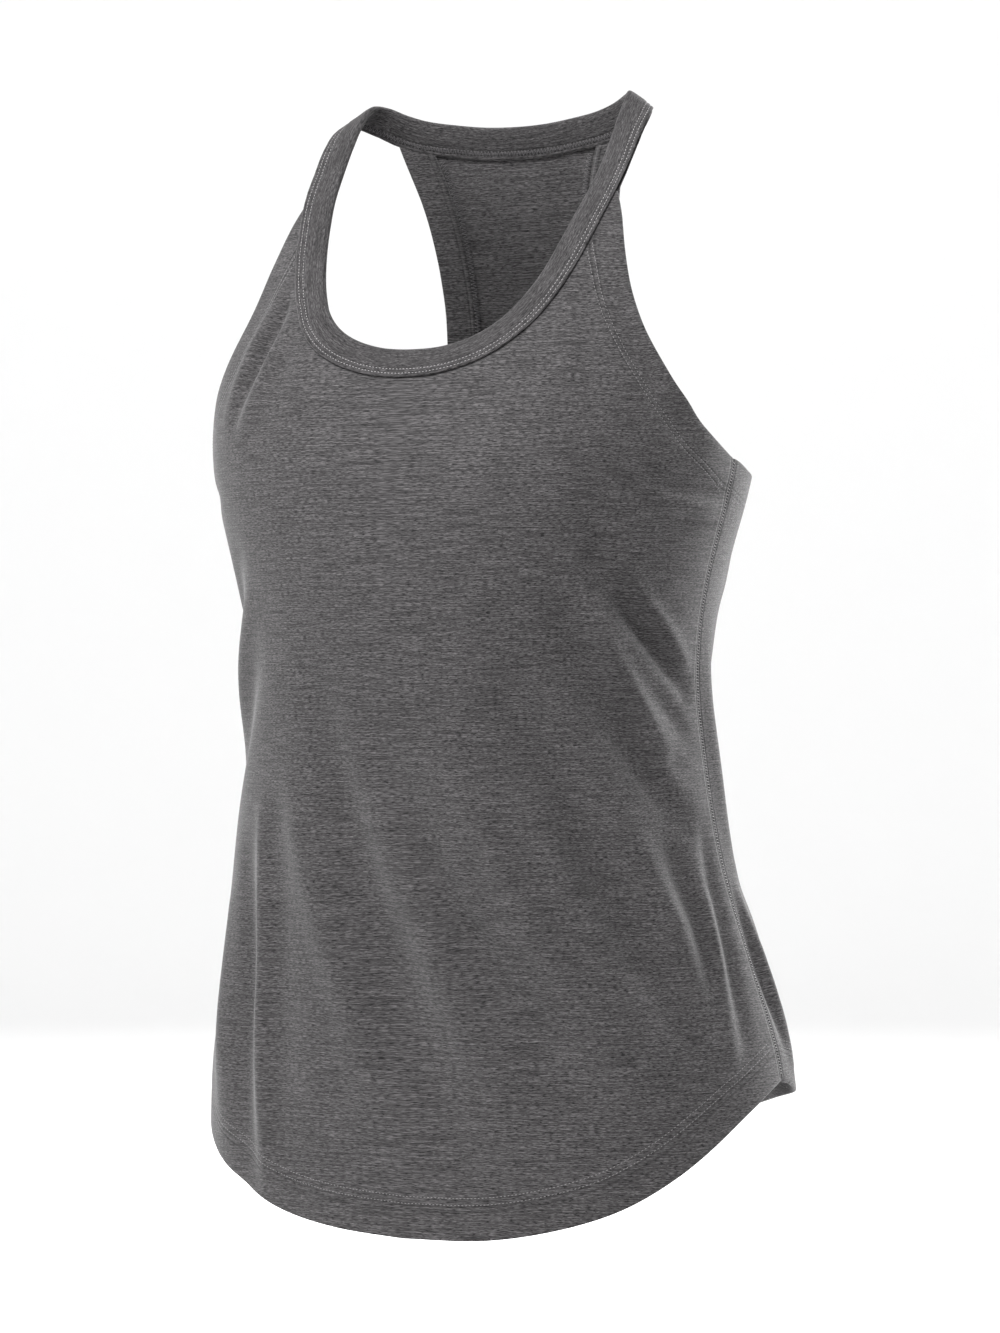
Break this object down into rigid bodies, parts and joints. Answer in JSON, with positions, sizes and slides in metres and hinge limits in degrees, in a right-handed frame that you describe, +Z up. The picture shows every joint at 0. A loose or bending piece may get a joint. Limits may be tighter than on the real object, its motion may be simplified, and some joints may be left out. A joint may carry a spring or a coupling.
{
  "type": "tank top",
  "caption": "Women's sleeveless racerback tank top in heather-grey jersey, filled out as worn and empty, with a bound round neck, narrow straps and a curved shirt-tail hem",
  "frame": {"origin": "midway between the two strap tops, on the line of their neck edges, where the wearer's shoulders hold the garment", "axes": "+Z up, the front faces -Y, +X towards the wearer's left"},
  "size_m": [0.373, 0.2481, 0.6725],
  "materials": {
    "jersey": "matte heather-grey single jersey, polyester and cotton, fine horizontal slub"
  },
  "bodies": {
    "root": {"front_panel": "jersey", "back_panel": "jersey", "neck_binding": "jersey"}
  },
  "joints": []
}
